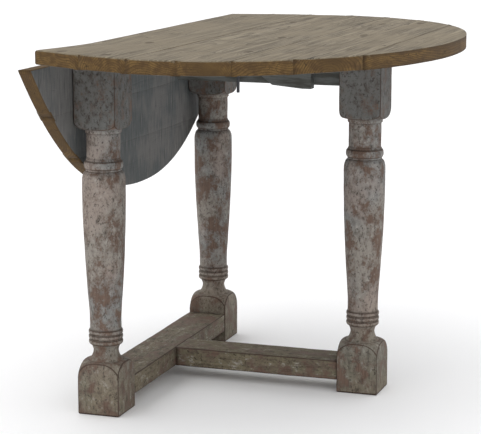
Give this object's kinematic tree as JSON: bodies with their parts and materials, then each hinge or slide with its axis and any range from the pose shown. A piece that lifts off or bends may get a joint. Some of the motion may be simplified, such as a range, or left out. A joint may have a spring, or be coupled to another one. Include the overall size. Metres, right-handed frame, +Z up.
{
  "type": "drop leaf table",
  "caption": "Rustic drop leaf table: oval plank top with one hanging leaf, turned painted legs, T stretcher and a sliding leaf support.",
  "frame": {"origin": "on the floor, under the middle of the whole table's box with the leaf hanging", "axes": "+X from the hanging leaf towards the round end, +Y along the planks and the hinge line, +Z up"},
  "size_m": [0.724, 1.19, 0.755],
  "materials": {
    "aged_pine_boards": "weathered, dry, worn to bare wood on the rim",
    "worn_painted_pine": "old grey white paint rubbed through to the wood",
    "bare_hardwood": "bare, darkened with age",
    "painted_iron": "old flat paint",
    "dull_steel": "dull with a little rust"
  },
  "bodies": {
    "table": {"hinge_back_fixed_plate": "painted_iron", "hinge_back_pin": "dull_steel", "hinge_front_fixed_plate": "painted_iron", "hinge_front_pin": "dull_steel", "hinge_top_screws": "dull_steel", "leg_left_back": "worn_painted_pine", "leg_left_front": "worn_painted_pine", "leg_right": "worn_painted_pine", "rail_centre": "worn_painted_pine", "rail_side": "worn_painted_pine", "slide_runner": "bare_hardwood", "stretcher_cross": "worn_painted_pine", "stretcher_long": "worn_painted_pine", "tenon_pegs": "bare_hardwood", "top_plank_1": "aged_pine_boards", "top_plank_2": "aged_pine_boards", "top_plank_3": "aged_pine_boards", "top_plank_4": "aged_pine_boards", "top_plank_5": "aged_pine_boards", "top_plank_6": "aged_pine_boards", "top_plank_7": "aged_pine_boards", "top_screws": "dull_steel"},
    "leaf": {"hinge_back_leaf_plate": "painted_iron", "hinge_front_leaf_plate": "painted_iron", "hinge_leaf_screws": "dull_steel", "leaf_plank_1": "aged_pine_boards", "leaf_plank_2": "aged_pine_boards", "leaf_plank_3": "aged_pine_boards"},
    "slide": {"leaf_slide": "worn_painted_pine", "slide_peg": "bare_hardwood"}
  },
  "joints": [
    {"name": "leaf_hinge", "type": "hinge", "parent": "table", "child": "leaf", "pos_m": [-0.328, 0, 0.721], "axis": [0, 1, 0], "range_deg": [0, 90]},
    {"name": "support_slide", "type": "slide", "parent": "table", "child": "slide", "axis": [-1, 0, 0], "range_m": [0, 0.06]}
  ]
}
